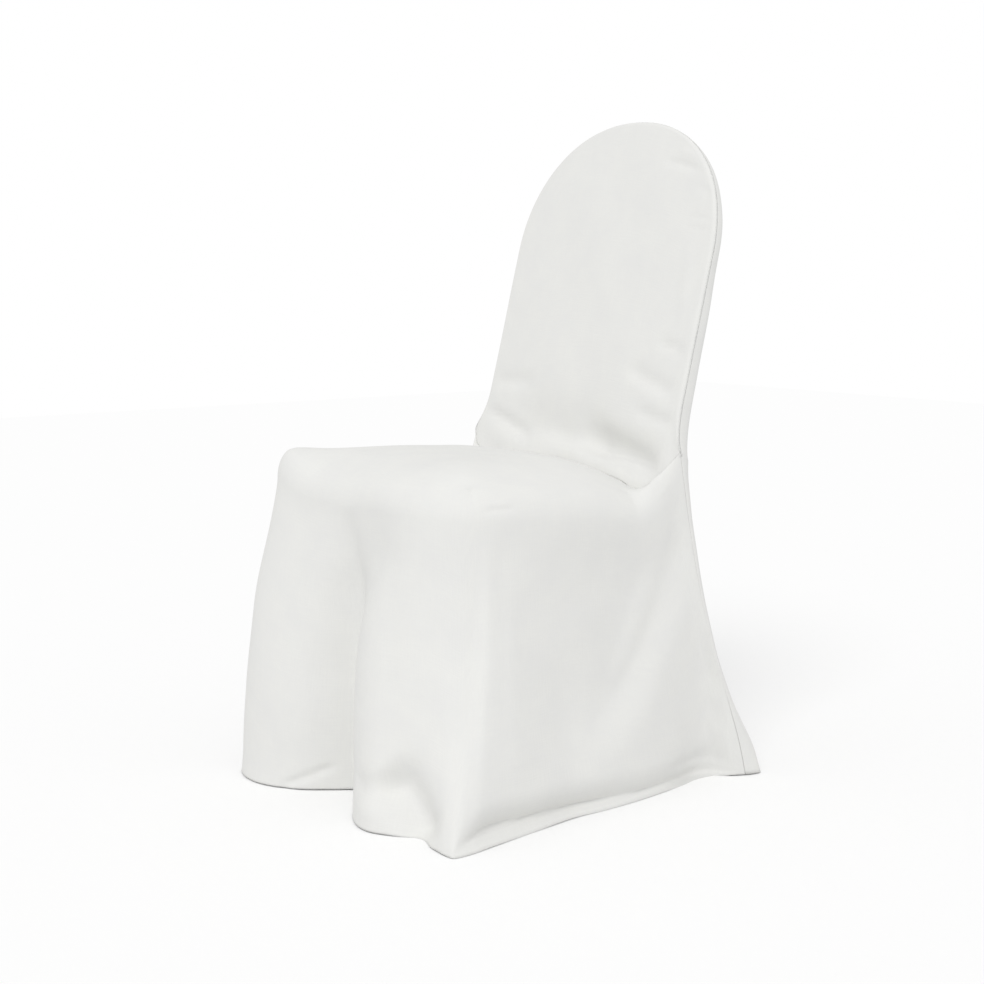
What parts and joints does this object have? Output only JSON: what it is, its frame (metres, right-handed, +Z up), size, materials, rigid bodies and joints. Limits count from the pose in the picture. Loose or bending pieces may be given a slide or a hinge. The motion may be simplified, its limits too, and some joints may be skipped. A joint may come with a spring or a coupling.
{
  "type": "banquet chair cover",
  "caption": "White fitted cloth cover for a round-backed banquet chair, hollow, with an oval leaning back, a domed seat and a floor-length skirt with soft folds at its corners.",
  "frame": {"origin": "centre of the bounding box at the floor, where the hem lies", "axes": "+Z up; -Y is the front of the chair and the back leans towards +Y; +X is the sitter's left side, seen on the right in the picture"},
  "size_m": [0.525, 0.6121, 0.9398],
  "materials": {
    "inside_back": "white woven polyester, pressed, matt",
    "outside_back": "white woven polyester, pressed, matt",
    "seat_skirt": "white woven polyester, pressed, matt"
  },
  "bodies": {
    "root": {"inside_back": "inside_back", "outside_back": "outside_back", "seat_skirt": "seat_skirt"}
  },
  "joints": []
}
